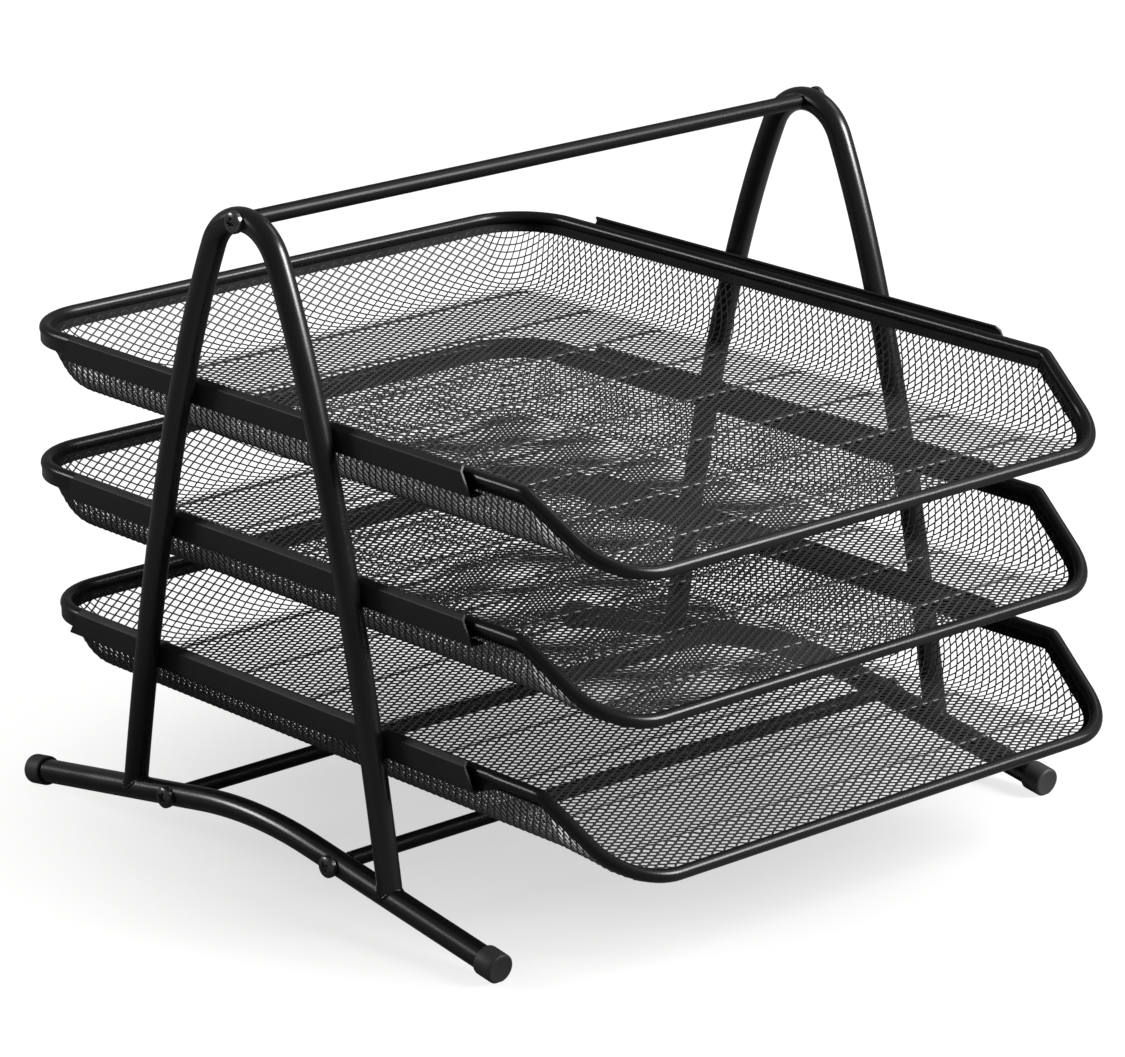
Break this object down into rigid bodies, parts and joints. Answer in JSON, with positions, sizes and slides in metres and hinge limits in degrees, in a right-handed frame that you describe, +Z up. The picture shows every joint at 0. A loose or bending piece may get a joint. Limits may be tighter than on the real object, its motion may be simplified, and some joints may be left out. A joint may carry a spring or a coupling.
{
  "type": "three-tier letter tray",
  "caption": "Desk stand of two bent-tube side frames with channel rails, in which three mesh letter trays slide out one above another.",
  "frame": {"origin": "bottom centre of the bounding box, on the table", "axes": "+X to the right seen from the open front, +Y to the rear, +Z up"},
  "size_m": [0.2924, 0.3492, 0.2554],
  "materials": {
    "tube": "black powder coat, satin",
    "rail": "black powder coat, satin",
    "rim": "black powder coat, satin",
    "mesh": "black powder coat on expanded metal",
    "cap": "moulded black, fine grain",
    "screw": "black-zinc pan head, cross recess"
  },
  "bodies": {
    "stand": {"leg_frame_left": "tube", "foot_bar_left": "tube", "foot_cap_front_left": "cap", "foot_cap_rear_left": "cap", "screw_handle_left": "screw", "screw_front_left": "screw", "screw_rear_left": "screw", "rail_top_left": "rail", "rail_middle_left": "rail", "rail_bottom_left": "rail", "leg_frame_right": "tube", "foot_bar_right": "tube", "foot_cap_front_right": "cap", "foot_cap_rear_right": "cap", "screw_handle_right": "screw", "screw_front_right": "screw", "screw_rear_right": "screw", "rail_top_right": "rail", "rail_middle_right": "rail", "rail_bottom_right": "rail", "handle_bar": "tube", "crossbar_front": "tube", "crossbar_rear": "tube"},
    "tray_top": {"tray_rim_top": "rim", "tray_pan_top": "mesh"},
    "tray_middle": {"tray_rim_middle": "rim", "tray_pan_middle": "mesh"},
    "tray_bottom": {"tray_rim_bottom": "rim", "tray_pan_bottom": "mesh"}
  },
  "joints": [
    {"name": "tray_top_slide", "type": "slide", "parent": "stand", "child": "tray_top", "axis": [0, -1, 0], "range_m": [-0.021, 0.16]},
    {"name": "tray_middle_slide", "type": "slide", "parent": "stand", "child": "tray_middle", "axis": [0, -1, 0], "range_m": [-0.019, 0.16]},
    {"name": "tray_bottom_slide", "type": "slide", "parent": "stand", "child": "tray_bottom", "axis": [0, -1, 0], "range_m": [-0.028, 0.16]}
  ]
}
